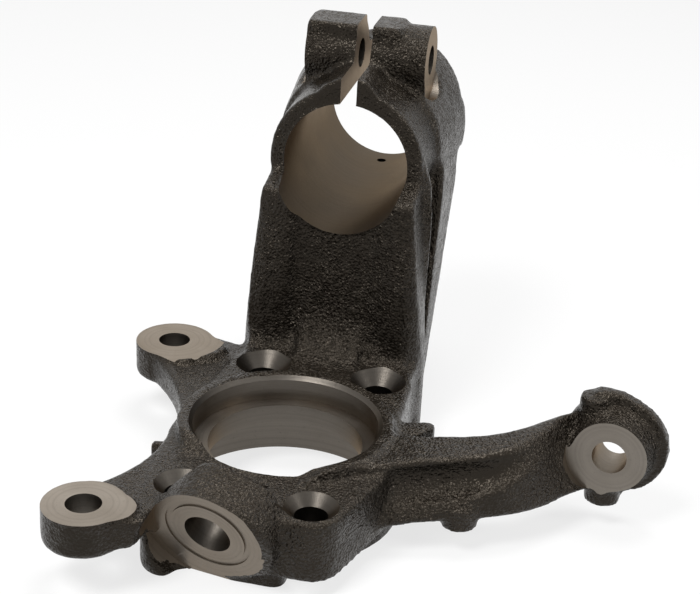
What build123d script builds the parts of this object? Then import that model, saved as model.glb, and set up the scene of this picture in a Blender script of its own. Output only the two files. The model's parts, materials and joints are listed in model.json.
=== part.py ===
"""Steering knuckle: a one-piece ductile-iron casting with machined bores and faces.

Frame: the origin is on the hub axis, in the plane of the outboard seat. +Z runs inboard
along the hub axis, +Y runs towards the strut clamp, +X towards the steering arm.
"""

import math
import os

from build123d import *

# Hub bore, from the inboard rim down to the outboard seat
RIM_Z = 39.0
RIM_BORE_R = 38.0
RIM_CHAMFER = 2.0
LEDGE_Z = 28.0
SEAT_BORE_R = 31.8
PILOT_TOP_Z = 19.0
PILOT_R = 45.4
HUB_WALL_R = 48.3
HUB_WALL_TOP = 16.0
FLARE_HEIGHT = 11.0
COLLAR_R = 44.5

# Hub plate: webs (x, y, radius of the hub end) join the bolt bosses; its lower half is thinner
PLATE_TOP = 35.0
PLATE_BOTTOM = 7.5
PLATE_STEP = 1.5
PLATE_REACH = 13.0
TOWER_JOIN = 4.0
UPPER_WEB = (20.0, 10.0, 24.0)
RIGHT_WEB = (24.0, -10.0, 26.0)
LEFT_WEB = (-20.0, -10.0, 26.0)
SHELF_Y = (-21.0, -32.0, -47.0)
SHELF_X = (16.0, 28.0)
ROOT_LUG = (54.0, 22.5)
ROOT_LUG_R = 4.0
ROOT_LUG_END = (42.0, 14.0, 8.0)
ROOT_LUG_Z = (18.5, PLATE_TOP - 1.0)

# Hub bolts: a rectangle of countersunk clearance holes
BOLT_X = 26.0
BOLT_Y = 53.0
BOLT_HOLE_R = 6.5
SINK_R = 12.2
SINK_RISE = 3.0
SINK_TOP = 58.0
UPPER_BOSS_R = 15.0
LOWER_BOSS_R = 13.2

# Caliper ears
EAR_FACE_Z = 33.5
EAR_BACK_Z = 18.0
EAR_HOLE_R = 7.0
EAR_UPPER = (-71.8, 64.1)
EAR_UPPER_R = 17.3
EAR_LOWER = (-55.2, -78.9)
EAR_LOWER_R = 16.2
EAR_BEVEL = 1.8
EAR_MILL_R = (23.0, 20.5)
NECK_INSET = 1.5
UPPER_NECKS = ((-58.5, 60.0, 12.0), (-62.0, 48.0, 5.5))
LOWER_NECKS = ((-45.5, -78.0, 10.0),)
WEB_TOP = 32.3
WEB_BOTTOM = 18.5
WEB_INSET = 1.0
LOWER_WEB_END = (-24.0, -60.0, 14.0)
UPPER_EDGE = ((-76.0, 48.0), (-62.0, 32.5), (-46.0, -2.0))
UPPER_INNER = ((-20.0, 10.0), (-26.0, 60.0))
LOWER_EDGE = ((-60.0, -64.0), (-50.0, -47.0), (-45.0, -12.0))
LOWER_INNER = ((-20.0, -20.0), (-20.0, -60.0))
NUB_X = (-52.3, -45.0)
NUB_Y = (-18.0, -13.0)
NUB_Z = (20.0, 27.0)

# Strut clamp: the bore's near end, its direction and its length
CLAMP_AT = (-1.2, 84.8, 120.4)
CLAMP_YAW = 1.5
CLAMP_PITCH = 1.65
CLAMP_R = 27.5
CLAMP_LENGTH = 91.0
SLEEVE_R = 34.2
SLEEVE_DRAFT = 2.0
SHOULDER_START = -10.0
BAND_START = 12.0
SHOULDER_FRONT = 27.0
SHOULDER_BACK = 68.0
SHOULDER_R = (37.0, 42.0)
SLIT_WIDTH = 7.0

# Lips beside the slit: (out from the slit's edge, height above the sleeve)
LIP_RIGHT = ((9.0, -4.0), (8.0, -0.5), (5.0, 3.2), (2.0, 4.2))
LIP_LEFT = ((10.0, -4.0), (9.0, -0.5), (1.0, 4.2))

# Pinch-bolt lugs, measured along the clamp and out from its axis
LUG_FRONT = 27.5
LUG_BACK = 48.0
LUG_TOP = 54.3
LUG_FOOT = 20.0
LUG_WEB = 12.0
LUG_OUTER = (26.0, 28.0)
PINCH_AT = 39.5
PINCH_R = 6.5
PINCH_HEIGHT = 38.5
LUG_ROUND = 15.0
SPOT_FACE_R = 17.5
DRAIN_AT = 81.0
DRAIN_R = 2.2

# Tower between the plate and the clamp
TOWER_FRONT_Y = 69.5
PANEL_Y = 73.5
TOWER_LEFT = -42.5
TOWER_RIGHT = 40.0
COLUMN_ROUND = 11.0
TOWER_TOP_Z = 110.0
FLANGE_HALF = 38.0
LEFT_CORNER = ((0.0, 7.0), (3.0, 2.0), (10.0, 0.0))
PANEL_X = (-18.0, 14.0)
PANEL_EDGE_X = (-22.0, 26.0)
TOP_FALL = 3.0
TOP_RISE = 5.0
FLANGE_START = (76.0, 60.0)
FLANGE_STEP_Z = 80.0
FLANGE_TOP = 129.0
LEFT_LEAN = ((TOWER_LEFT + 7.8, TOWER_TOP_Z), (-34.5, 126.0), (-25.0, 150.0))
RIGHT_LEAN = ((33.0, TOWER_TOP_Z + 3.0), (32.0, 126.0), (25.0, 150.0))
CROWN_FOOT = 100.0
CROWN = ((37.0, 113.0), (32.0, 128.0), (20.0, 150.0))
FLANK = (33.0, 95.0)

# Side grooves of the tower: (y, z) points of the rear edge from the foot up, then the front edge
GROOVE_START = 88.0
GROOVE_FOOT = 37.0
GROOVE_REAR = ((94.0, 40.0), (102.0, 74.0), (108.0, 92.0), (113.0, 108.0), (115.0, 118.0), (118.0, 132.0))
GROOVE_FRONT = ((GROOVE_START + 4.0, 132.0), (GROOVE_START + 3.0, 105.0))
GROOVE_FLOOR = (33.0, 31.0)

# The foot of the tower: the ramp under the panel and the fillet along the root
RAMP_FRONT_Y = 58.0
RAMP_TOP = 60.0
RAMP_X = (-15.0, 13.5)
RAMP_SAG = 5.0
CHEEK_X = (-20.0, 18.0)
CHEEK_SAG = 1.0
ROOT_R = 6.0
ROOT_X = (TOWER_LEFT + 4.0, TOWER_RIGHT - 6.0)
ROOT_SAG = 1.7

# The tower's rear edge and the pocket that opens there
BACK_INSET = 5.0
BACK_FOOT = (92.0, 6.0)
BACK_HEAD = (158.0, 128.0)
BACK_CROWN = (150.0, 134.0)
WALL = 9.0
POCKET_TOP = 83.0
POCKET_BEVEL = 8.0

# Ball-joint boss
BALL_AT = (-9.4, -70.0, 24.0)
BALL_YAW = 8.6
BALL_PITCH = 20.4
BALL_R = 21.5
BALL_LOBES = ((5.0, 2.0, 21.5), (-7.0, 6.0, 20.5))
BALL_TAPER_R = (9.5, 8.3)
BALL_DEPTH = 17.8
BALL_MILL_R = (22.6, 28.0)
NUT_POCKET_R = 11.5
FOOT_AT = (-28.5, -56.5)
FOOT_R = 12.3
FOOT_TOP = 26.0
FOOT_BEVEL = 1.4
BALL_RING_R = 17.6
BALL_RING_WIDTH = 2.2
BALL_RING_DEPTH = 0.6
NUT_POCKET_DEPTH = 12.0
BLOCK_X = (-30.0, 18.0)
BLOCK_Y = (-62.0, -42.0)
BLOCK_TOP = 24.0
BLOCK_ROUND = 5.0

# Steering arm
END_AT = (130.0, 21.3, 34.0)
END_YAW = 6.3
END_PITCH = 1.2
END_FACE_R = 15.5
END_THICK = 15.5
END_DRAFT = 3.0
END_FLANGE_THICK = 6.0
END_FLANGE_R = 21.8
END_BROW_R = 20.8
END_BROW_SHIFT = (-4.5, 2.9)
END_MILL_R = 18.0
KNOB_AT = (121.0, 33.5)
KNOB_R = 6.3
KNOB_FOOT = 38.0
KNOB_TOP = 55.2
TIP_Z = (40.0, 46.0)
TIP_DROP = 1.5
END_TAPER_R = (7.15, 6.4)

# Cast locating pads
PAD_R = 7.5
PAD_Z = 10.0
ARM_PAD = (75.8, -9.6)
ARM_PAD_TOP = 20.0
END_PAD = (128.5, 29.3)
END_PAD_TOP = 24.0

# Distances well beyond the part, for cuts that run right through
FAR = 200.0


def cyl(radius, z0, z1, at=(0, 0)):
    """A cylinder along Z between two heights."""
    return Pos(at[0], at[1], z0) * Cylinder(radius, z1 - z0, align=(Align.CENTER, Align.CENTER, Align.MIN))


def box(x0, x1, y0, y1, z0, z1):
    """A box between two corners."""
    size = Box(x1 - x0, y1 - y0, z1 - z0, align=(Align.MIN, Align.MIN, Align.MIN))
    return Pos(x0, y0, z0) * size


def link(at_a, r_a, at_b, r_b, z0, z1):
    """A web with straight tangent sides between two round bosses."""
    span = math.dist(at_a, at_b)
    heading = math.atan2(at_b[1] - at_a[1], at_b[0] - at_a[0])
    lean = math.acos((r_a - r_b) / span)
    corners = []
    for turn in (heading + lean, heading - lean):
        near = (at_a[0] + r_a * math.cos(turn), at_a[1] + r_a * math.sin(turn))
        far = (at_b[0] + r_b * math.cos(turn), at_b[1] + r_b * math.sin(turn))
        corners += [near, far] if not corners else [far, near]
    web = Pos(0, 0, z0) * extrude(make_face(Polyline(*corners, close=True)), z1 - z0, dir=(0, 0, 1))
    return web + cyl(r_a, z0, z1, at_a) + cyl(r_b, z0, z1, at_b)


def prism(points, x0, x1):
    """A side profile of (y, z) points, extruded across the part."""
    outline = Plane.YZ.offset(x0) * make_face(Polyline(*points, close=True))
    return extrude(outline, x1 - x0, dir=(1, 0, 0))


def wall(points, y0, y1):
    """A profile of (x, z) points, extruded along Y."""
    outline = Plane.XZ.offset(-y0) * make_face(Polyline(*points, close=True))
    return extrude(outline, y1 - y0, dir=(0, 1, 0))


def axis_plane(at, yaw, pitch):
    """A plane whose normal runs along +Y, turned by yaw towards -X and pitch towards +Z."""
    yaw, pitch = math.radians(yaw), math.radians(pitch)
    normal = (-math.sin(yaw) * math.cos(pitch), math.cos(yaw) * math.cos(pitch), math.sin(pitch))
    return Plane(origin=at, x_dir=(math.cos(yaw), math.sin(yaw), 0), z_dir=normal)


def bar(plane, r0, t0, t1, r1=None):
    """A round bar or cone along a plane's normal."""
    if r1 is None:
        solid = Cylinder(r0, t1 - t0, align=(Align.CENTER, Align.CENTER, Align.MIN))
    else:
        solid = Cone(r0, r1, t1 - t0, align=(Align.CENTER, Align.CENTER, Align.MIN))
    return plane * Pos(0, 0, t0) * solid


def slab(plane, x0, x1, h0, h1, t0, t1):
    """A box in a plane's own frame: across, up from the axis and along the normal."""
    return plane * box(x0, x1, -h1, -h0, t0, t1)


def bolt_points():
    """The four hub-bolt positions."""
    return [(x, y) for x in (-BOLT_X, BOLT_X) for y in (-BOLT_Y, BOLT_Y)]


def hub_plate():
    """The hub wall with its collar, bolt bosses and the webs between them."""
    upper_left, lower_left = (-BOLT_X, BOLT_Y), (-BOLT_X, -BOLT_Y)
    upper_right, lower_right = (BOLT_X, BOLT_Y), (BOLT_X, -BOLT_Y)
    body = cyl(HUB_WALL_R, 0, HUB_WALL_TOP) + cyl(COLLAR_R, PILOT_TOP_Z, RIM_Z)
    flare = Cone(HUB_WALL_R, COLLAR_R, FLARE_HEIGHT, align=(Align.CENTER, Align.CENTER, Align.MIN))
    body += Pos(0, 0, HUB_WALL_TOP) * flare
    body += link(upper_left, UPPER_BOSS_R, upper_right, UPPER_BOSS_R, PLATE_BOTTOM, PLATE_TOP)
    reach = BOLT_X + PLATE_REACH
    body += box(-reach, reach, BOLT_Y, PANEL_Y + TOWER_JOIN, PLATE_BOTTOM, PLATE_TOP)
    x, y, radius = UPPER_WEB
    body += link(upper_left, UPPER_BOSS_R, (-x, y), radius, PLATE_BOTTOM, PLATE_TOP)
    body += link(upper_right, UPPER_BOSS_R, (x, y), radius, PLATE_BOTTOM, PLATE_TOP)
    low_top = PLATE_TOP - PLATE_STEP
    body += link(lower_right, LOWER_BOSS_R, RIGHT_WEB[:2], RIGHT_WEB[2], PLATE_BOTTOM, low_top)
    body += link(lower_left, LOWER_BOSS_R, LEFT_WEB[:2], LEFT_WEB[2], PLATE_BOTTOM, low_top)
    body += link(lower_left, LOWER_BOSS_R, lower_right, LOWER_BOSS_R, PLATE_BOTTOM, low_top)
    body += link(ROOT_LUG, ROOT_LUG_R, ROOT_LUG_END[:2], ROOT_LUG_END[2], *ROOT_LUG_Z)
    over = RIM_Z + 1
    start, end, edge = SHELF_Y
    low = prism([(start, over), (end, low_top), (edge, low_top), (edge, over)], -FAR, FAR)
    left, right = SHELF_X
    run = [(-FAR, low_top - 1), (left, low_top - 1), (left, low_top), (right, over), (right, FAR), (-FAR, FAR)]
    return body - (low & wall(run, -FAR, 0))


def ears():
    """The two caliper ears with the webs that carry them."""
    body = web(UPPER_EDGE, [*UPPER_INNER, EAR_UPPER]) + web(LOWER_EDGE, [*LOWER_INNER, EAR_LOWER])
    body += link(EAR_UPPER, EAR_UPPER_R - WEB_INSET, (-BOLT_X, BOLT_Y), UPPER_BOSS_R, WEB_BOTTOM, WEB_TOP)
    end, end_r = LOWER_WEB_END[:2], LOWER_WEB_END[2]
    body += link(EAR_LOWER, EAR_LOWER_R - WEB_INSET, end, end_r, WEB_BOTTOM + 2, WEB_TOP)
    body += box(*NUB_X, *NUB_Y, *NUB_Z)
    for at, radius, necks in ((EAR_UPPER, EAR_UPPER_R, UPPER_NECKS), (EAR_LOWER, EAR_LOWER_R, LOWER_NECKS)):
        for x, y, neck_r in necks:
            body += link(at, radius - NECK_INSET, (x, y), neck_r, WEB_BOTTOM + 2, EAR_FACE_Z)
        ear = cyl(radius, EAR_BACK_Z, EAR_FACE_Z, at)
        body += chamfer(ear.edges().group_by(Axis.Z)[0], EAR_BEVEL)
    return body


def web(edge, rest):
    """A plate under an ear: one side is an arc through three points, the others are straight."""
    outline = ThreePointArc(*edge) + Polyline(edge[-1], *rest, edge[0])
    return Pos(0, 0, WEB_BOTTOM) * extrude(make_face(outline), WEB_TOP - WEB_BOTTOM, dir=(0, 0, 1))


def tower_front():
    """The two front columns with the recessed panel between them, cut sloping under the clamp."""
    front = [(TOWER_LEFT + x, TOWER_FRONT_Y + y) for x, y in LEFT_CORNER]
    front += [(PANEL_EDGE_X[0], TOWER_FRONT_Y), (PANEL_X[0], PANEL_Y), (PANEL_X[1], PANEL_Y)]
    front += [(PANEL_EDGE_X[1], TOWER_FRONT_Y), (TOWER_RIGHT - COLUMN_ROUND, TOWER_FRONT_Y)]
    inset = (1 - math.sqrt(0.5)) * COLUMN_ROUND
    round_end = (TOWER_RIGHT, TOWER_FRONT_Y + COLUMN_ROUND)
    corner = (TOWER_RIGHT - inset, TOWER_FRONT_Y + inset)
    outline = Polyline(*front) + ThreePointArc(front[-1], corner, round_end)
    outline += Polyline(round_end, (TOWER_RIGHT, GROOVE_START), (TOWER_LEFT, GROOVE_START), front[0])
    body = extrude(make_face(outline), TOWER_TOP_Z + 2 * TOP_RISE, dir=(0, 0, 1))
    near, joint = RAMP_FRONT_Y, CLAMP_AT[1]
    over = [(near, TOWER_TOP_Z - TOP_FALL), (TOWER_FRONT_Y, TOWER_TOP_Z), (joint, TOWER_TOP_Z + TOP_RISE)]
    return body - prism(over + [(joint, FAR), (near, FAR)], -FAR, FAR)


def tower():
    """The neck under the clamp: the front columns, a flange that leans back, leaning sides."""
    joint = CLAMP_AT[1]
    start_y, start_z = FLANGE_START
    side = [(start_y, 0), (BACK_FOOT[0] - BACK_INSET, 0), BACK_FOOT, BACK_HEAD, BACK_CROWN]
    side += [(joint, FLANGE_TOP), (joint, FLANGE_STEP_Z), (start_y, start_z)]
    body = tower_front() + prism(side, TOWER_LEFT, FLANGE_HALF)
    for edge, foot_z, lean, y0, y1 in (
        (TOWER_LEFT, PLATE_TOP, LEFT_LEAN, 0, FAR),
        (TOWER_RIGHT, PLATE_TOP, RIGHT_LEAN, 0, GROOVE_START),
        (FLANGE_HALF, CROWN_FOOT, CROWN, joint, FAR),
    ):
        out = math.copysign(FAR, edge)
        body -= wall([(out, foot_z), (edge, foot_z), *lean, (out, lean[-1][1])], y0, y1)
    out = FLANGE_HALF + 3
    flank = make_face(Polyline((FLANK[0], joint), (out, joint), (out, FLANK[1]), close=True))
    return body - Pos(0, 0, TOWER_TOP_Z) * extrude(flank, FAR, dir=(0, 0, 1)) - tower_hollows()


def tower_hollows():
    """The grooves up both sides of the tower and the pocket at its back."""
    groove = [(GROOVE_START, GROOVE_FOOT), *GROOVE_REAR, *GROOVE_FRONT]
    cut = prism(groove, GROOVE_FLOOR[1], FAR) + prism(groove, -FAR, -GROOVE_FLOOR[0])
    y, top = PANEL_Y + WALL, POCKET_TOP
    pocket = [(FAR, WALL), (y, WALL), (y, top - POCKET_BEVEL), (y + POCKET_BEVEL, top), (FAR, top)]
    half = GROOVE_FLOOR[1] - WALL
    return cut + prism(pocket, -half, half)


def scoop():
    """The ramp at the foot of the panel, running out between the two upper bolts, and the root fillet."""
    body = hollow(RAMP_FRONT_Y, PANEL_Y, RAMP_TOP, RAMP_SAG, *RAMP_X)
    body += hollow(TOWER_FRONT_Y, PANEL_Y, RAMP_TOP, CHEEK_SAG, *CHEEK_X)
    return body + hollow(TOWER_FRONT_Y - ROOT_R, TOWER_FRONT_Y, PLATE_TOP + ROOT_R, ROOT_SAG, *ROOT_X)


def hollow(y0, y1, top, sag, x0, x1):
    """A hollow-faced fillet that rises from the plate at y0 to a height on the tower at y1."""
    run, rise = y1 - y0, top - PLATE_TOP
    span = math.hypot(run, rise)
    middle = (y0 + run / 2 + sag * rise / span, PLATE_TOP + rise / 2 - sag * run / span)
    outline = ThreePointArc((y0, PLATE_TOP), middle, (y1, top))
    inside, under = y1 + 1, PLATE_TOP - 2
    outline += Polyline((y1, top), (inside, top), (inside, under), (y0, under), (y0, PLATE_TOP))
    return extrude(Plane.YZ.offset(x0) * make_face(outline), x1 - x0, dir=(1, 0, 0))


def clamp():
    """The split sleeve with its shoulder, lips and pinch-bolt lugs, before the bore is cut."""
    axis = axis_plane(CLAMP_AT, CLAMP_YAW, CLAMP_PITCH)
    half = SLIT_WIDTH / 2
    body = bar(axis, SLEEVE_R, 0, CLAMP_LENGTH, SLEEVE_R + SLEEVE_DRAFT)
    body += bar(axis, SHOULDER_R[0], SHOULDER_FRONT, SHOULDER_BACK, SHOULDER_R[1])
    body -= slab(axis, -FAR, FAR, -FAR, SHOULDER_START, -FAR, FAR)
    body += bar(axis, SLEEVE_R, BAND_START, CLAMP_LENGTH, SLEEVE_R + SLEEVE_DRAFT)
    for side, lip in ((1, LIP_RIGHT), (-1, LIP_LEFT)):
        points = [(-half, lip[0][1]), *lip, (-half, lip[-1][1])]
        outline = make_face(Polyline(*[(side * (half + x), -SLEEVE_R - h) for x, h in points], close=True))
        body += axis * extrude(outline, LUG_FRONT + 1, dir=(0, 0, 1))
    left, right = LUG_OUTER
    body += slab(axis, -left, -half, LUG_FOOT, LUG_TOP, LUG_FRONT, LUG_BACK)
    body += slab(axis, half, half + LUG_WEB, LUG_FOOT, LUG_TOP, LUG_FRONT, LUG_BACK)
    body += slab(axis, half, right, LUG_FOOT, PINCH_HEIGHT, LUG_FRONT, LUG_BACK)
    boss = axis * Pos(0, -PINCH_HEIGHT, PINCH_AT) * Rot(0, 90, 0) * Cylinder(LUG_ROUND, FAR)
    return body + (boss & slab(axis, -left, right, LUG_FOOT, FAR, LUG_FRONT, FAR))


def clamp_cuts():
    """The strut bore, the slit, the pinch-bolt hole with its spot faces and the drain hole."""
    axis = axis_plane(CLAMP_AT, CLAMP_YAW, CLAMP_PITCH)
    half = SLIT_WIDTH / 2
    across = axis * Pos(0, -PINCH_HEIGHT, PINCH_AT) * Rot(0, 90, 0)
    cut = bar(axis, CLAMP_R, -CLAMP_R, FAR) + slab(axis, -half, half, 0, FAR, SHOULDER_START, FAR)
    cut += across * Cylinder(PINCH_R, FAR)
    left, right = LUG_OUTER
    for side, face in ((Align.MAX, -left), (Align.MIN, right)):
        mill = Cylinder(SPOT_FACE_R, left + right, align=(Align.CENTER, Align.CENTER, side))
        cut += across * Pos(0, 0, face) * mill
    down = axis * Pos(0, 0, DRAIN_AT) * Rot(-90, 0, 0)
    return cut + down * Cylinder(DRAIN_R, 2 * CLAMP_R, align=(Align.CENTER, Align.CENTER, Align.MIN))


def ball_boss():
    """The ball-joint boss with its inclined face, its foot and the slope behind it."""
    face = axis_plane(BALL_AT, -BALL_YAW, BALL_PITCH)
    rims = Circle(BALL_R).edges()
    for x, y, radius in BALL_LOBES:
        rims += (Pos(x, y) * Circle(radius)).edges()
    body = face * extrude(make_hull(rims), BALL_DEPTH) - box(-FAR, FAR, -FAR, 0, -FAR, 0)
    block = box(*BLOCK_X, *BLOCK_Y, 0, BLOCK_TOP)
    front_edge = block.edges().filter_by(Axis.Z).group_by(Axis.Y)[0].sort_by(Axis.X)[-1]
    body += fillet(front_edge, BLOCK_ROUND) - bar(face, FAR, -FAR, 0)
    return body + chamfer(cyl(FOOT_R, 0, FOOT_TOP, FOOT_AT).edges().group_by(Axis.Z)[0], FOOT_BEVEL)


def ball_cuts():
    """The tapered stud hole, the milled face and the shallow turned ring around the hole."""
    face = axis_plane(BALL_AT, -BALL_YAW, BALL_PITCH)
    cut = bar(face, BALL_TAPER_R[0], 0, BALL_DEPTH + 1, BALL_TAPER_R[1])
    cut += bar(face, BALL_MILL_R[0], -FAR, 0)
    cut += bar(face, BALL_MILL_R[1], -FAR, 0) & box(-FAR, FAR, -FAR, 0, -1, WEB_BOTTOM)
    cut += bar(face, NUT_POCKET_R, BALL_DEPTH, BALL_DEPTH + NUT_POCKET_DEPTH)
    ring = bar(face, BALL_RING_R, -1, BALL_RING_DEPTH) - bar(face, BALL_RING_R - BALL_RING_WIDTH, -2, 2)
    return cut + ring


def across(at, heading):
    """The plane square to the arm's path, local x towards the back and local y up."""
    turn = math.radians(heading)
    back = (-math.sin(turn), math.cos(turn), 0)
    return Plane(origin=at, x_dir=back, z_dir=(math.cos(turn), math.sin(turn), 0))


def section(at, heading, width, band, foot, dent, bottom, scoop_z, top, drop=0.0):
    """One cross-section of the arm: a crest at a point, a scoop under it and a band further out."""
    band_edge, crest, heel = (-band, scoop_z), (0, top - 1.5), (width, bottom + 2)
    low = Polyline(band_edge, (-foot, bottom + 2), (1 - foot, bottom), (width - 2, bottom), heel)
    high = Polyline(heel, (width, top - 4 - drop), (width - 4, top - drop), (1.5, top), crest)
    hollow_side = ThreePointArc(crest, (dent, (scoop_z + top) / 2), band_edge)
    return across((at[0], at[1], 0), heading) * make_face(low + high + hollow_side)


def beam():
    """The arm's body, drawn out through its cross-sections from the hub to the end boss."""
    stations = [
        section((37, -27), heading=12, width=40, band=2, foot=4, dent=2, bottom=9, scoop_z=17, top=38),
        section((60, -15), heading=20, width=25, band=3.6, foot=6.6, dent=3.2, bottom=13.5, scoop_z=21, top=38.5),
        section((80, -7.5), heading=30, width=22, band=5, foot=6.2, dent=2.2, bottom=14.5, scoop_z=25, top=40),
        section((99, 6), heading=43, width=15.5, band=4, foot=7.2, dent=-0.8, bottom=15, scoop_z=33.5, top=43),
    ]
    for at, heading, width, band, foot, dent, bottom in (
        ((108.5, 24), 49, 9, 1.5, 11.5, -0.6, 16),
        ((116, 33), 55, 6, 3, 14, -0.5, 17),
    ):
        stations.append(section(at, heading, width, band, foot, dent, bottom, TIP_Z[0], TIP_Z[1], TIP_DROP))
    return loft(stations)


def arm():
    """The steering arm, its end boss with the flange behind it and the locating pads."""
    end = axis_plane(END_AT, -END_YAW, END_PITCH)
    body = beam() - bar(end, END_MILL_R, -2 * END_MILL_R, 0)
    body += bar(end, END_FACE_R, 0, END_THICK, END_FACE_R + END_DRAFT)
    flange_t = (END_THICK + 1 - END_FLANGE_THICK, END_THICK + 1)
    body += bar(end, END_FLANGE_R, *flange_t)
    brow = end * Pos(END_BROW_SHIFT[0], -END_BROW_SHIFT[1], 0)
    body += bar(brow, END_BROW_R, *flange_t) & box(KNOB_AT[0], FAR, 0, FAR, 0, FAR)
    body += cyl(KNOB_R, KNOB_FOOT, KNOB_TOP, KNOB_AT) + cyl(PAD_R, PAD_Z, END_PAD_TOP, END_PAD)
    return body + cyl(PAD_R, PAD_Z, ARM_PAD_TOP, ARM_PAD)


def arm_cuts():
    """The tapered tie-rod hole."""
    end = axis_plane(END_AT, -END_YAW, END_PITCH)
    return bar(end, END_TAPER_R[0], -1, END_THICK + 2, END_TAPER_R[1])


def hub_cuts():
    """The stepped hub bore and the countersunk bolt holes."""
    cut = cyl(SEAT_BORE_R, -1, RIM_Z + 1)
    cut += cyl(PILOT_R, -1, PILOT_TOP_Z)
    cut += cyl(RIM_BORE_R, LEDGE_Z, RIM_Z + 1)
    mouth_r = RIM_BORE_R + RIM_CHAMFER
    cone = Cone(RIM_BORE_R, mouth_r, RIM_CHAMFER, align=(Align.CENTER, Align.CENTER, Align.MAX))
    cut += Pos(0, 0, RIM_Z) * cone
    for at in bolt_points():
        wide = SINK_R + SINK_RISE
        sink = Cone(BOLT_HOLE_R, wide, wide - BOLT_HOLE_R, align=(Align.CENTER, Align.CENTER, Align.MAX))
        cut += cyl(BOLT_HOLE_R, -1, SINK_TOP, at)
        cut += Pos(at[0], at[1], PLATE_TOP + SINK_RISE) * sink
        cut += cyl(SINK_R + 1, PLATE_TOP + SINK_RISE, SINK_TOP, at)
    for at, mill_r in zip((EAR_UPPER, EAR_LOWER), EAR_MILL_R):
        cut += cyl(EAR_HOLE_R, 0, EAR_FACE_Z, at) + cyl(mill_r, EAR_FACE_Z, RIM_Z + 5, at)
    return cut


knuckle = hub_plate() + ears() + tower() + scoop() + clamp() + ball_boss() + arm()
knuckle = knuckle - clamp_cuts() - ball_cuts() - arm_cuts() - hub_cuts()
knuckle.label = "knuckle"
os.makedirs("parts", exist_ok=True)
export_step(knuckle, "parts/knuckle.step")
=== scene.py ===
"""Looks of the steering knuckle: a painted sand casting with machined bores and faces.

The CAD solid is refilled to a raw casting, its edges are rounded and its skin roughened,
and then every machined surface is cut again, so that the cuts stay crisp.
"""

import json
import math

import bmesh
import bpy
import numpy as np
from mathutils import Matrix, Vector

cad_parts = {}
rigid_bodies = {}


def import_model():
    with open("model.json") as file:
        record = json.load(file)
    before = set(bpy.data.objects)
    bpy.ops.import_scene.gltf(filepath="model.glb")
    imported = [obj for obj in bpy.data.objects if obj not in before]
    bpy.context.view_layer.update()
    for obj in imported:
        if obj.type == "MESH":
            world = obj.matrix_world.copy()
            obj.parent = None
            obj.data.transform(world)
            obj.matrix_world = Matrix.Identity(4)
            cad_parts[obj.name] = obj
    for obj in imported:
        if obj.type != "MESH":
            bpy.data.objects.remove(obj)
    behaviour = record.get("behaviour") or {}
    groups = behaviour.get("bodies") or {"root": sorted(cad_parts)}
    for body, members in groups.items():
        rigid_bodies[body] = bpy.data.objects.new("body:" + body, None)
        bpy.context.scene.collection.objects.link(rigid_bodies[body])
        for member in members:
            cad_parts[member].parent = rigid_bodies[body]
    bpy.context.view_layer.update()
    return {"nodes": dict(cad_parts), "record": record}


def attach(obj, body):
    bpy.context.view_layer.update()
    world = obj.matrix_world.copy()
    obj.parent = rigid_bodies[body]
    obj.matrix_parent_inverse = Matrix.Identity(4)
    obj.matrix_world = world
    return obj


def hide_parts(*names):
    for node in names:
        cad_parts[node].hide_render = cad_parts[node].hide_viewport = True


MM = 0.001
UP = Vector((0, 0, 1))
WHITE = (1, 1, 1, 1)

# Camera: place and aim in mm, roll in degrees, lens and sensor in mm
CAMERA_AT = (156.2, -559.2, 355.7)
CAMERA_AIM = (-5.8, 126.2, 39.0)
CAMERA_ROLL = 3.08
CAMERA_LENS = 83.05
CAMERA_SENSOR = 36

# Lamps: name, place, aim and size in metres, watts
LAMPS = (
    ("overhead", (0.1, 0.35, 1.3), (0, 0.03, 0.05), 0.5, 8),
    ("key", (-0.35, -0.62, 1.2), (0, 0.03, 0.05), 0.45, 12),
    ("right", (1.2, -0.1, 0.7), (0, 0.03, 0.08), 0.4, 5),
)

# Casting skin, in mm
VOXEL = 1.3
SMOOTHING = 5
SWELL_SIZE = 9.0
SWELL_DEPTH = 0.25
GRAIN_SIZE = 2.2
GRAIN_DEPTH = 0.16
FLOOR_STOCK = 3

# Stock that refills the machined features, in mm
MILL_SPARE = 2.5
NECK_SPARE = 1.6
NECK_INSET = 1.5
NECK_SHARES = (0.25, 0.5, 0.75, 1.0)
PLATE_STOCK_TOP = 31.5
RIM_STOCK_TOP = 39
BOLT_STOCK_FLOOR = 8
EAR_STOCK_FLOOR = 24
SLIT_STOCK_HALF = 5
SLIT_STOCK_FLOOR = 25
PINCH_STOCK_R = 15
PINCH_SPARE = 2
DRAIN_STOCK_R = 3
DRAIN_STOCK_REACH = (20, 34)
BALL_STOCK_DEPTH = 16
END_STOCK_R = 15.5
END_STOCK_DEPTH = 15

# Colours of the paint, the dust and painted top light on it, and the iron; IRON_COOL weighs a tone's red,
# green and blue
PAINT_DARK = (0.005, 0.004, 0.003, 1)
PAINT_LIGHT = (0.011, 0.0087, 0.0064, 1)
PAINT_TINT = (1.0, 0.86, 0.7, 1)
DUST_AND_TOP_LIGHT = (0.03, 0.0235, 0.017, 1)
IRON_DARK = (0.3, 0.247, 0.19, 1)
IRON_LIGHT = (0.36, 0.3, 0.235, 1)
IRON_RING = (0.23, 0.19, 0.15, 1)
IRON_SPECK = (0.15, 0.125, 0.1, 1)
IRON_TINT = (0.78, 0.66, 0.54, 1)
IRON_COOL = (1, 1.08, 1.2)

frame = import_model()
node = frame["nodes"]["knuckle"]
mounts = {mount["name"]: mount for mount in frame["record"]["mounts"]}


def mount_at(name):
    """A mount's point in mm."""
    return Vector(mounts[name]["pos_m"]) / MM


def size_of(name, key="r_mm"):
    """One of a mount's sizes in mm, its radius unless another is asked for."""
    return mounts[name]["dims"][key]


def side_of(axis):
    """The level direction square to an axis."""
    return Vector((axis.y, -axis.x, 0)).normalized()


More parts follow.
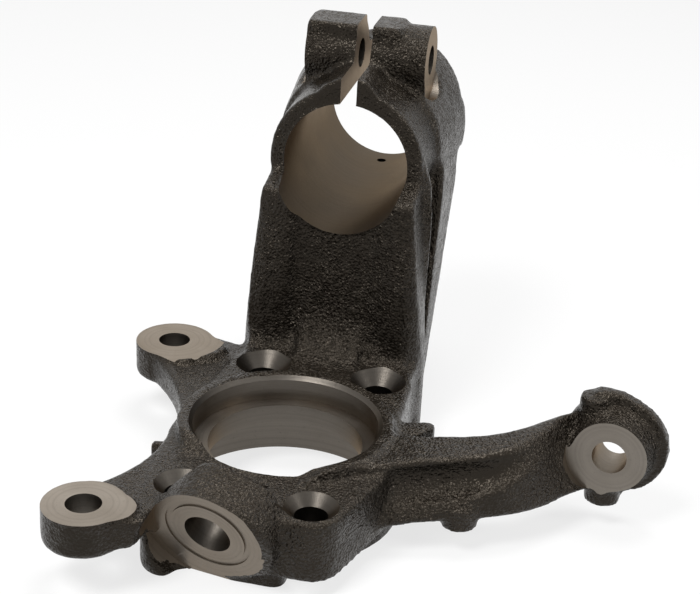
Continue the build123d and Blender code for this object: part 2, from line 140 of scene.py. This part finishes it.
def link_mesh(name, verts, faces):
    """A new object from points in mm."""
    mesh = bpy.data.meshes.new(name)
    mesh.from_pydata([tuple(Vector(v) * MM) for v in verts], [], faces)
    bm = bmesh.new()
    bm.from_mesh(mesh)
    bmesh.ops.recalc_face_normals(bm, faces=bm.faces)
    bm.to_mesh(mesh)
    bm.free()
    obj = bpy.data.objects.new(name, mesh)
    bpy.context.scene.collection.objects.link(obj)
    return obj


def turned(name, at, axis, profile, steps=128):
    """A solid of revolution: profile is (radius, distance along the axis), closed on the axis."""
    axis = Vector(axis).normalized()
    side = axis.orthogonal().normalized()
    third = axis.cross(side)
    verts, faces, rings = [], [], []
    for radius, along in profile:
        centre = Vector(at) + axis * along
        if radius < 1e-6:
            rings.append([len(verts)])
            verts.append(centre)
            continue
        rings.append(list(range(len(verts), len(verts) + steps)))
        for k in range(steps):
            turn = 2 * math.pi * (k + 0.5) / steps
            verts.append(centre + side * radius * math.cos(turn) + third * radius * math.sin(turn))
    for a, b in zip(rings, rings[1:]):
        for k in range(steps):
            n = (k + 1) % steps
            quad = [a[k % len(a)], a[n % len(a)], b[n % len(b)], b[k % len(b)]]
            faces.append(list(dict.fromkeys(quad)))
    return link_mesh(name, verts, faces)


def rod(name, at, axis, radius, start, end):
    """A plain round bar used as filling or as a cutter."""
    return turned(name, at, axis, [(0, start), (radius, start), (radius, end), (0, end)])


def block(name, at, axis, across, up, along):
    """A box in an axis frame: across and up from the axis, along it."""
    axis = Vector(axis).normalized()
    side = side_of(axis)
    rise = side.cross(axis)
    corners = [(x, h, t) for x in across for h in up for t in along]
    verts = [Vector(at) + side * x + rise * h + axis * t for x, h, t in corners]
    faces = [(0, 1, 3, 2), (4, 6, 7, 5), (0, 4, 5, 1), (2, 3, 7, 6), (0, 2, 6, 4), (1, 5, 7, 3)]
    return link_mesh(name, verts, faces)


# Hub, bolts and ears, in mm, with the sizes that the record's mounts hold taken from there
BELOW = -8
ABOVE = 44
PILOT_R = size_of("hub_pilot")
PILOT_TOP = size_of("hub_pilot", "length_mm")
SEAT_R = size_of("hub_seat")
SEAT_TOP = PILOT_TOP + size_of("hub_seat", "length_mm")
RIM_R = size_of("hub_rim")
RIM_TOP = SEAT_TOP + size_of("hub_rim", "length_mm")
RIM_CHAMFER = 4
BOLT_R = size_of("hub_bolts", "hole_r_mm")
BOLT_X = size_of("hub_bolts", "spacing_x_mm") / 2
BOLT_Y = size_of("hub_bolts", "spacing_y_mm") / 2
BOLTS = [(x, y) for x in (-BOLT_X, BOLT_X) for y in (-BOLT_Y, BOLT_Y)]
BOSS_R = 13.2
BOSS_TOP = 35
LOWER_HALF_DROP = 1.5
SINK_FLOOR = 29.3
SINK_TOP = 38
EAR_FACE = 33.5
EARS = {
    "caliper_upper": {"radius": 17.3, "mill": 23.0, "necks": ((-58.5, 60, 12), (-62, 48, 5.5))},
    "caliper_lower": {"radius": 16.2, "mill": 20.5, "necks": ((-45.5, -78, 10),)},
}

# Clamp, in mm: distances run along its axis from CLAMP_AT
CLAMP_AXIS = Vector(mounts["strut_clamp"]["axis"])
CLAMP_SIDE = side_of(CLAMP_AXIS)
CLAMP_R = size_of("strut_clamp")
CLAMP_LENGTH = 91
CLAMP_FLOOR = CLAMP_LENGTH - size_of("strut_clamp", "length_mm")
CLAMP_AT = mount_at("strut_clamp") - CLAMP_AXIS * (CLAMP_FLOOR + CLAMP_LENGTH) / 2
BORE_REACH = (-30, 111)
SLIT_HALF = 3.5
SLIT_REACH = (-10, 111)
SLIT_STOCKS = ((54.3, (27.5, 48)), (38.4, (0, 29)), (35, (40, CLAMP_LENGTH)))
DRAIN_R = 2.2
DRAIN_AT = CLAMP_AT + CLAMP_AXIS * 81
DRAIN_AXIS = -CLAMP_SIDE.cross(CLAMP_AXIS)
PINCH_AT = mount_at("pinch_bolt")
PINCH_AXIS = Vector(mounts["pinch_bolt"]["axis"])
PINCH_R = size_of("pinch_bolt")
PINCH_HALF = size_of("pinch_bolt", "length_mm") / 2
SPOT_FACE_R = 17.5
FAR = 60
BEYOND = 400

# Ball-joint boss and arm end, in mm: each lobe is (across, up, radius, start along the axis)
BALL_AT = mount_at("ball_joint_taper")
BALL_AXIS = -Vector(mounts["ball_joint_taper"]["axis"])
BALL_R = size_of("ball_joint_taper")
BALL_TIP_R = 8.3
BALL_DEPTH = size_of("ball_joint_taper", "length_mm")
BALL_LOBES = ((0, 0, 21.5, -MILL_SPARE), (5, -2, 21.5, 0), (-7, -6, 20.5, 0))
BALL_MILL_R = 22.6
RING_R = 17.6
RING_INNER_R = 15.4
RING_DEPTH = 0.6
NUT_POCKET_R = 11.5
NUT_POCKET_DEPTH = 12
FOOT_MILL_R = 28
FOOT_TOP = 18.5
END_AT = mount_at("tie_rod_taper")
END_AXIS = -Vector(mounts["tie_rod_taper"]["axis"])
END_R = size_of("tie_rod_taper")
END_TIP_R = 6.4
END_DEPTH = size_of("tie_rod_taper", "length_mm") + 1
END_MILL_R = 18
END_MILL_REACH = 36

HUB_PROFILE = [
    (0, BELOW),
    (PILOT_R, BELOW),
    (PILOT_R, PILOT_TOP),
    (SEAT_R, PILOT_TOP),
    (SEAT_R, SEAT_TOP),
    (RIM_R, SEAT_TOP),
    (RIM_R, RIM_TOP),
    (RIM_R + RIM_CHAMFER, RIM_TOP + RIM_CHAMFER),
    (RIM_R + RIM_CHAMFER, ABOVE),
    (0, ABOVE),
]
SINK_PROFILE = [
    (0, BELOW),
    (BOLT_R, BELOW),
    (BOLT_R, SINK_FLOOR),
    (BOLT_R + SINK_TOP - SINK_FLOOR, SINK_TOP),
    (BOSS_R, SINK_TOP + 0.01),
    (BOSS_R, SINK_TOP + 20),
    (0, SINK_TOP + 20),
]
PINCH_PROFILE = [
    (0, -FAR),
    (SPOT_FACE_R, -FAR),
    (SPOT_FACE_R, -PINCH_HALF),
    (PINCH_R, -PINCH_HALF),
    (PINCH_R, PINCH_HALF),
    (SPOT_FACE_R, PINCH_HALF),
    (SPOT_FACE_R, FAR),
    (0, FAR),
]
BALL_PROFILE = [
    (0, -FAR),
    (BALL_MILL_R, -FAR),
    (BALL_MILL_R, 0),
    (RING_R, 0),
    (RING_R, RING_DEPTH),
    (RING_INNER_R, RING_DEPTH),
    (RING_INNER_R, 0),
    (BALL_R, 0),
    (BALL_TIP_R, BALL_DEPTH),
    (NUT_POCKET_R, BALL_DEPTH),
    (NUT_POCKET_R, BALL_DEPTH + NUT_POCKET_DEPTH),
    (0, BALL_DEPTH + NUT_POCKET_DEPTH),
]
FOOT_PROFILE = [(FOOT_MILL_R, -FAR), (FOOT_MILL_R, 0), (RING_R, 0)]
END_PROFILE = [
    (0, -END_MILL_REACH),
    (END_MILL_R, -END_MILL_REACH),
    (END_MILL_R, 0),
    (END_R, 0),
    (END_TIP_R, END_DEPTH),
    (0, END_DEPTH),
]
BORE_PROFILE = [(0, BORE_REACH[0]), (CLAMP_R, BORE_REACH[0]), (CLAMP_R, BORE_REACH[1]), (0, BORE_REACH[1])]
DRAIN_PROFILE = [(0, 0), (DRAIN_R, 0), (DRAIN_R, 55), (0, 55)]

# How bright each feature's faces, holes and chamfers come out, as a share of fresh iron: partly each finish's
# own tone, partly painted shade that darkens holes and bores
TONES_WITH_PAINTED_SHADE = {
    "hub": (0.46, 0.46, 0.24),
    "bolt": (0.2, 0.14, 0.19),
    "ear": (0.88, 0.34, 0.88),
    "bore": (0.29, 0.29, 0.29),
    "drain": (0.1, 0.1, 0.1),
    "pinch": (0.6, 0.3, 0.6),
    "ball": (0.66, 0.38, 0.66),
    "foot": (0.66, 0.38, 0.66),
    "end": (0.58, 0.7, 0.58),
}
FLOOR_TONE = 0.8
SLIT_TONE = 0.85
HOLE_R = 12


def ear_profile(name, mill):
    """The mill over an ear and the hole through it."""
    hole = size_of(name)
    return [(0, -5), (hole, -5), (hole, EAR_FACE), (mill, EAR_FACE), (mill, ABOVE), (0, ABOVE)]


def machined_features():
    """Every turned cut as its kind, its place, its axis and its profile."""
    found = [("hub", (0, 0, 0), UP, HUB_PROFILE)]
    found += [("bolt", (x, y, 0), UP, SINK_PROFILE) for x, y in BOLTS]
    for name, shape in EARS.items():
        centre = mount_at(name)
        found.append(("ear", (centre.x, centre.y, 0), UP, ear_profile(name, shape["mill"])))
    found.append(("bore", CLAMP_AT, CLAMP_AXIS, BORE_PROFILE))
    found.append(("drain", DRAIN_AT, DRAIN_AXIS, DRAIN_PROFILE))
    found.append(("pinch", PINCH_AT, PINCH_AXIS, PINCH_PROFILE))
    found.append(("ball", BALL_AT, BALL_AXIS, BALL_PROFILE))
    found.append(("end", END_AT, END_AXIS, END_PROFILE))
    return found


def hub_stock():
    """Stock in the hub bore and the four bolt holes."""
    found = [
        rod("fill", (0, 0, 0), UP, PILOT_R - 1, -FLOOR_STOCK, PLATE_STOCK_TOP),
        rod("fill", (0, 0, 0), UP, RIM_R - 0.8, SEAT_TOP, RIM_STOCK_TOP),
    ]
    for x, y in BOLTS:
        top = BOSS_TOP if y > 0 else BOSS_TOP - LOWER_HALF_DROP
        found.append(rod("fill", (x, y, 0), UP, BOSS_R, BOLT_STOCK_FLOOR, top))
    return found


def ear_stock():
    """Stock over each ear and along its necks, which the mill runs out over."""
    found = []
    for name, shape in EARS.items():
        centre, radius = mount_at(name), shape["radius"]
        found.append(rod("fill", (centre.x, centre.y, 0), UP, radius, EAR_STOCK_FLOOR, EAR_FACE + MILL_SPARE))
        for x, y, neck in shape["necks"]:
            for share in NECK_SHARES:
                place = (centre.x + (x - centre.x) * share, centre.y + (y - centre.y) * share, 0)
                width = (radius - NECK_INSET) * (1 - share) + neck * share
                found.append(rod("fill", place, UP, width, EAR_STOCK_FLOOR, EAR_FACE + NECK_SPARE))
    return found


def clamp_stock():
    """Stock in the strut bore, the drain hole, the slit and the cross hole."""
    found = [
        rod("fill", CLAMP_AT, CLAMP_AXIS, CLAMP_R + 2, 0, CLAMP_LENGTH),
        rod("fill", CLAMP_AT, CLAMP_AXIS, CLAMP_R - 1.3, CLAMP_FLOOR, 5),
        rod("fill", DRAIN_AT, DRAIN_AXIS, DRAIN_STOCK_R, *DRAIN_STOCK_REACH),
    ]
    across = (-SLIT_STOCK_HALF, SLIT_STOCK_HALF)
    for height, reach in SLIT_STOCKS:
        found.append(block("fill", CLAMP_AT, CLAMP_AXIS, across, (SLIT_STOCK_FLOOR, height), reach))
    end = PINCH_HALF + PINCH_SPARE
    found.append(rod("fill", PINCH_AT, PINCH_AXIS, PINCH_STOCK_R, -end, end))
    return found


def boss_stock():
    """Stock over the ball-joint boss and the arm's end boss."""
    side = side_of(BALL_AXIS)
    rise = side.cross(BALL_AXIS)
    found = []
    for x, h, radius, start in BALL_LOBES:
        place = BALL_AT + side * x + rise * h
        found.append(rod("fill", place, BALL_AXIS, radius, start, BALL_STOCK_DEPTH))
    found.append(rod("fill", END_AT, END_AXIS, END_STOCK_R, -MILL_SPARE, END_STOCK_DEPTH))
    return found


def apply(obj, kind, **settings):
    """Adds a modifier, sets it up and applies it."""
    mod = obj.modifiers.new(kind.lower(), kind)
    for key, value in settings.items():
        setattr(mod, key, value)
    bpy.context.view_layer.objects.active = obj
    bpy.ops.object.modifier_apply(modifier=mod.name)


def filled_solid():
    """A copy of the solid with stock under its floor, joined to the stock in its features."""
    mesh = node.data.copy()
    bm = bmesh.new()
    bm.from_mesh(mesh)
    bmesh.ops.remove_doubles(bm, verts=bm.verts, dist=1e-6)
    for v in bm.verts:
        if v.co.z < 0.02 * MM:
            v.co.z = -FLOOR_STOCK * MM
    bm.to_mesh(mesh)
    bm.free()
    mesh.materials.clear()
    solid = bpy.data.objects.new("casting", mesh)
    bpy.context.scene.collection.objects.link(solid)
    for obj in bpy.context.scene.objects:
        obj.select_set(False)
    for obj in hub_stock() + ear_stock() + clamp_stock() + boss_stock():
        obj.select_set(True)
    solid.select_set(True)
    bpy.context.view_layer.objects.active = solid
    bpy.ops.object.join()
    return solid


def roughen(skin):
    """Rounds the edges of the filled solid and gives it a sand-cast skin."""
    apply(skin, "REMESH", mode="VOXEL", voxel_size=VOXEL * MM, use_smooth_shade=True)
    apply(skin, "SMOOTH", factor=0.5, iterations=SMOOTHING)
    for size, depth in ((SWELL_SIZE, SWELL_DEPTH), (GRAIN_SIZE, GRAIN_DEPTH)):
        clouds = bpy.data.textures.new("clouds", "CLOUDS")
        clouds.noise_scale = size * MM
        clouds.noise_depth = 1
        apply(skin, "DISPLACE", texture=clouds, texture_coords="LOCAL", strength=depth * MM, mid_level=0.6)


def cut(skin, cutter):
    """Takes the cutter out of the skin and removes it."""
    apply(skin, "BOOLEAN", object=cutter, operation="DIFFERENCE", solver="MANIFOLD")
    bpy.data.objects.remove(cutter)


def machine(skin, features):
    """Cuts every machined feature again."""
    wide = (-BEYOND, BEYOND)
    cut(skin, block("floor_cut", (0, 0, 0), (0, 1, 0), wide, (-FAR, 0), wide))
    for kind, at, axis, profile in features:
        cut(skin, turned(kind, at, axis, profile, 192 if kind in ("hub", "bore") else 96))
    foot = block("foot", (0, 0, 0), (0, 1, 0), (-FAR, FAR), (-40, FOOT_TOP), (-2 * FAR, 0))
    mill = rod("mill", BALL_AT, BALL_AXIS, FOOT_MILL_R, -FAR, 0)
    apply(foot, "BOOLEAN", object=mill, operation="INTERSECT", solver="MANIFOLD")
    bpy.data.objects.remove(mill)
    cut(skin, foot)
    cut(skin, block("slit", CLAMP_AT, CLAMP_AXIS, (-SLIT_HALF, SLIT_HALF), (0, 80), SLIT_REACH))


def read(items, key, width=1, kind=float):
    """The values of all items of a mesh, in one flat row."""
    values = np.zeros(len(items) * width, kind)
    items.foreach_get(key, values)
    return values


class Marks:
    """The material, tool place, tool axis and tone of each face; the tone also carries painted shade in holes
    and bores.
    """

    def __init__(self, mesh):
        self.mesh = mesh
        self.points = read(mesh.vertices, "co", 3).reshape(-1, 3) / MM
        self.loops = read(mesh.loops, "vertex_index", kind=int)
        self.starts = read(mesh.polygons, "loop_start", kind=int)
        faces = len(mesh.polygons)
        self.index = np.zeros(faces, np.int32)
        self.rows = {
            "tool_at": np.zeros((faces, 3), np.float32),
            "tool_axis": np.zeros((faces, 3), np.float32),
            "tone": np.ones((faces, 3), np.float32),
        }

    def claim(self, near, at, axis, shade):
        """Makes every face with all its corners near a surface a machined one."""
        found = np.minimum.reduceat(near[self.loops].astype(int), self.starts).astype(bool)
        self.index[found] = 1
        self.rows["tool_at"][found] = at
        self.rows["tool_axis"][found] = axis
        self.rows["tone"][found] = [shade * share for share in IRON_COOL]

    def claim_turned(self, kind, at, axis, profile):
        """Claims the faces on each stretch of a turned profile."""
        axis = np.array(Vector(axis).normalized())
        offset = self.points - np.array(at)
        along = offset @ axis
        radius = np.linalg.norm(offset - np.outer(along, axis), axis=1)
        for (r0, t0), (r1, t1) in zip(profile, profile[1:]):
            run = np.array([r1 - r0, t1 - t0])
            length = np.hypot(*run)
            share = ((radius - r0) * run[0] + (along - t0) * run[1]) / length**2
            gap = np.abs((radius - r0) * run[1] - (along - t0) * run[0]) / length
            near = (gap < 0.03) & (share > -0.01) & (share < 1.01)
            chamfer = np.isclose(abs(run[0]), abs(run[1]))
            # Hole walls take the hole tone, darker in most features: painted shade inside the holes.
            hole = abs(run[1]) > abs(run[0]) and r0 < HOLE_R
            self.claim(near, at, axis, TONES_WITH_PAINTED_SHADE[kind][2 if chamfer else int(hole)])

    def claim_flats(self):
        """Claims the two walls of the slit."""
        offset = self.points - np.array(CLAMP_AT)
        across = np.abs(offset @ np.array(CLAMP_SIDE))
        near = (np.abs(across - SLIT_HALF) < 0.02) & (offset[:, 2] > 20)
        self.claim(near, CLAMP_AT, np.array(CLAMP_SIDE), SLIT_TONE)

    def write(self):
        """Puts the marks on the mesh, as constants of its faces."""
        self.mesh.polygons.foreach_set("material_index", self.index)
        for name, values in self.rows.items():
            attribute = self.mesh.attributes.new(name, "FLOAT_VECTOR", "FACE")
            attribute.data.foreach_set("vector", values.ravel())


def mark_machined(mesh, features):
    """Marks the seat, the ball-joint face round its mill, the turned features and the slit."""
    marks = Marks(mesh)
    marks.claim(np.abs(marks.points[:, 2]) < 0.02, (0, 0, 0), UP, FLOOR_TONE)
    for feature in [("foot", BALL_AT, BALL_AXIS, FOOT_PROFILE)] + features:
        marks.claim_turned(*feature)
    marks.claim_flats()
    marks.write()


def crisp_cuts(mesh):
    """Keeps the edge sharp wherever a machined face meets the cast skin."""
    bm = bmesh.new()
    bm.from_mesh(mesh)
    for edge in bm.edges:
        if len({face.material_index for face in edge.link_faces}) > 1:
            edge.smooth = False
    bm.to_mesh(mesh)
    bm.free()


class Nodes:
    """A small helper for building the node tree of a material or the world."""

    def __init__(self, owner):
        owner.use_nodes = True
        self.tree = owner.node_tree
        self.tree.nodes.clear()

    def add(self, kind, inputs=None, **settings):
        made = self.tree.nodes.new(kind)
        for key, value in settings.items():
            setattr(made, key, value)
        for key, value in (inputs or {}).items():
            if isinstance(value, bpy.types.NodeSocket):
                self.tree.links.new(value, made.inputs[key])
            else:
                made.inputs[key].default_value = value
        return made

    def math(self, operation, a, b):
        return self.add("ShaderNodeMath", {0: a, 1: b}, operation=operation).outputs[0]

    def vector(self, operation, a, b=None):
        inputs = {0: a} if b is None else {0: a, 1: b}
        found = self.add("ShaderNodeVectorMath", inputs, operation=operation)
        return found.outputs["Value" if operation in ("LENGTH", "DOT_PRODUCT") else "Vector"]

    def scaled(self, vector, scale):
        found = self.add("ShaderNodeVectorMath", {0: vector, "Scale": scale}, operation="SCALE")
        return found.outputs["Vector"]

    def attribute(self, name):
        return self.add("ShaderNodeAttribute", attribute_name=name).outputs["Vector"]

    def noise(self, where, scale, detail=2.0, rough=0.5, kind="3D"):
        key = "W" if kind == "1D" else "Vector"
        inputs = {key: where, "Scale": scale, "Detail": detail, "Roughness": rough}
        return self.add("ShaderNodeTexNoise", inputs, noise_dimensions=kind).outputs["Fac"]

    def cells(self, where, scale):
        return self.add("ShaderNodeTexVoronoi", {"Vector": where, "Scale": scale}).outputs

    def spread(self, value, low, high, new_low, new_high):
        inputs = {"Value": value, "From Min": low, "From Max": high, "To Min": new_low, "To Max": new_high}
        return self.add("ShaderNodeMapRange", inputs, clamp=True).outputs["Result"]

    def mix(self, share, a, b):
        inputs = {"Factor": share, 6: a, 7: b}
        return self.add("ShaderNodeMix", inputs, data_type="RGBA").outputs[2]

    def mix_shader(self, share, a, b):
        return self.add("ShaderNodeMixShader", {0: share, 1: a, 2: b}).outputs[0]

    def bump(self, height, distance, normal=None, strength=1.0):
        inputs = {"Height": height, "Distance": distance, "Strength": strength}
        if normal is not None:
            inputs["Normal"] = normal
        return self.add("ShaderNodeBump", inputs).outputs["Normal"]

    def principled(self, inputs, tint):
        shader = self.add("ShaderNodeBsdfPrincipled", inputs)
        shader.inputs["Specular Tint"].default_value = tint
        self.finish(shader.outputs[0])

    def finish(self, shader, kind="ShaderNodeOutputMaterial"):
        self.add(kind, {"Surface": shader})


def cast_material():
    """Near-black glossy paint over a rough sand-cast skin."""
    material = bpy.data.materials.new("painted_casting")
    n = Nodes(material)
    place = n.add("ShaderNodeTexCoord").outputs["Object"]
    pits = n.cells(place, 900.0)["Distance"]
    grain = n.noise(place, 900.0, 2.0, 0.6)
    lumps = n.noise(place, 200.0)
    patch = n.noise(place, 30.0, 3.0, 0.6)
    rough_here = n.spread(patch, 0.35, 0.6, 0.3, 1.0)

    height = n.math("ADD", n.math("MULTIPLY", grain, 0.8), n.math("MULTIPLY", pits, 0.7))
    normal = n.bump(lumps, 0.0007, strength=0.7)
    normal = n.bump(n.math("MULTIPLY", height, rough_here), 0.0008, normal)
    tilt = n.vector("SUBTRACT", n.cells(place, 1150.0)["Color"], (0.5, 0.5, 0.5))
    tilt = n.scaled(tilt, n.math("MULTIPLY", rough_here, 0.6))
    normal = n.vector("NORMALIZE", n.vector("ADD", normal, tilt))

    colour = n.mix(n.spread(patch, 0.35, 0.7, 0, 1), PAINT_DARK, PAINT_LIGHT)
    # Up-facing paint turns lighter: partly dust, partly painted light falling from above.
    outward = n.add("ShaderNodeNewGeometry").outputs["Normal"]
    facing = n.add("ShaderNodeSeparateXYZ", {0: outward}).outputs["Z"]
    dust_and_top_light = n.math("MULTIPLY", n.spread(facing, 0.3, 1.0, 0, 1), n.spread(grain, 0.4, 0.75, 0.1, 0.8))
    colour = n.mix(dust_and_top_light, colour, DUST_AND_TOP_LIGHT)
    roughness = n.spread(n.noise(place, 240.0), 0.3, 0.7, 0.12, 0.3)
    inputs = {"Base Color": colour, "Roughness": roughness, "Normal": normal, "Specular IOR Level": 0.27}
    n.principled(inputs, PAINT_TINT)
    return material


def machined_material():
    """Bare machined iron with tool marks round each feature's own axis."""
    material = bpy.data.materials.new("machined_iron")
    n = Nodes(material)
    place = n.add("ShaderNodeTexCoord").outputs["Object"]
    axis = n.attribute("tool_axis")
    offset = n.vector("SUBTRACT", n.scaled(place, 1 / MM), n.attribute("tool_at"))
    along = n.vector("DOT_PRODUCT", offset, axis)
    radius = n.vector("LENGTH", n.vector("CROSS_PRODUCT", offset, axis))
    sweep = n.math("ADD", radius, along)
    fine = n.noise(sweep, 3.2, 1.0, 0.5, "1D")
    broad = n.noise(sweep, 0.55, 2.0, 0.6, "1D")
    speck = n.noise(place, 900.0, 2.0, 0.6)
    patch = n.noise(place, 45.0, 3.0, 0.6)

    colour = n.mix(n.spread(patch, 0.3, 0.7, 0, 1), IRON_DARK, IRON_LIGHT)
    colour = n.mix(n.spread(broad, 0.45, 0.75, 0, 0.4), colour, IRON_RING)
    colour = n.mix(n.spread(speck, 0.6, 0.8, 0, 0.35), colour, IRON_SPECK)
    # The tone darkens holes and bores with painted shade on top of each finish's own colour.
    colour = n.vector("MULTIPLY", colour, n.attribute("tone"))
    roughness = n.spread(n.math("ADD", fine, patch), 0.7, 1.3, 0.3, 0.46)
    normal = n.bump(fine, 0.00004, strength=0.8)
    normal = n.bump(speck, 0.00003, normal, 0.5)
    inputs = {"Base Color": colour, "Metallic": 1.0, "Roughness": roughness, "Normal": normal}
    n.principled(inputs, IRON_TINT)
    return material


def floor():
    """A white floor that keeps a soft shadow and is clear from below."""
    bpy.ops.mesh.primitive_plane_add(size=8, location=(0, 0, -0.0002))
    plane = bpy.context.object
    plane.name = "floor"
    material = bpy.data.materials.new("floor_paper")
    n = Nodes(material)
    paths = n.add("ShaderNodeLightPath").outputs
    white = n.add("ShaderNodeEmission", {"Color": WHITE, "Strength": 1.0}).outputs[0]
    paper = n.add("ShaderNodeBsdfDiffuse", {"Color": (0.9, 0.9, 0.9, 1)}).outputs[0]
    seen = n.math("MAXIMUM", paths["Is Camera Ray"], paths["Is Glossy Ray"])
    top = n.mix_shader(n.math("MULTIPLY", seen, 0.75), paper, white)
    clear = n.add("ShaderNodeBsdfTransparent").outputs[0]
    n.finish(n.mix_shader(n.add("ShaderNodeNewGeometry").outputs["Backfacing"], top, clear))
    plane.data.materials.append(material)


def surround():
    """A white surround where it is seen, and a dimmer fill light elsewhere."""
    world = bpy.data.worlds.new("surround")
    bpy.context.scene.world = world
    n = Nodes(world)
    paths = n.add("ShaderNodeLightPath").outputs
    clear = n.math("MAXIMUM", paths["Is Glossy Ray"], paths["Is Transmission Ray"])
    seen = n.math("MAXIMUM", paths["Is Camera Ray"], clear)
    fill = n.add("ShaderNodeBackground", {"Color": WHITE, "Strength": 0.3}).outputs[0]
    white = n.add("ShaderNodeBackground", {"Color": WHITE, "Strength": 1.0}).outputs[0]
    n.finish(n.mix_shader(seen, fill, white), "ShaderNodeOutputWorld")


def lamp(name, at, aim, size, power):
    """A soft square lamp."""
    light = bpy.data.lights.new(name, "AREA")
    light.shape = "SQUARE"
    light.size = size
    light.energy = power
    obj = bpy.data.objects.new(name, light)
    bpy.context.scene.collection.objects.link(obj)
    obj.location = at
    obj.rotation_euler = (Vector(aim) - Vector(at)).to_track_quat("-Z", "Y").to_euler()


def camera():
    """The photograph's viewpoint."""
    forward = (Vector(CAMERA_AIM) - Vector(CAMERA_AT)).normalized()
    flat = Vector((forward.y, -forward.x, 0)).normalized()
    rise = flat.cross(forward)
    roll = math.radians(CAMERA_ROLL)
    right = flat * math.cos(roll) + rise * math.sin(roll)
    up = rise * math.cos(roll) - flat * math.sin(roll)
    data = bpy.data.cameras.new("camera")
    data.lens = CAMERA_LENS
    data.sensor_width = CAMERA_SENSOR
    data.clip_start = 0.01
    data.clip_end = 20
    obj = bpy.data.objects.new("camera", data)
    bpy.context.scene.collection.objects.link(obj)
    turn = Matrix((right, up, -forward)).transposed().to_4x4()
    obj.matrix_world = Matrix.Translation(Vector(CAMERA_AT) * MM) @ turn
    bpy.context.scene.camera = obj


features = machined_features()
skin = filled_solid()
roughen(skin)
machine(skin, features)
skin.name = "knuckle_skin"
skin.data.materials.clear()
skin.data.materials.append(cast_material())
skin.data.materials.append(machined_material())
mark_machined(skin.data, features)
skin.data.shade_smooth()
skin.data.set_sharp_from_angle(angle=math.radians(38))
crisp_cuts(skin.data)
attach(skin, "root")
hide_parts("knuckle")

floor()
surround()
for lamp_values in LAMPS:
    lamp(*lamp_values)
camera()
bpy.context.scene.view_settings.view_transform = "Standard"
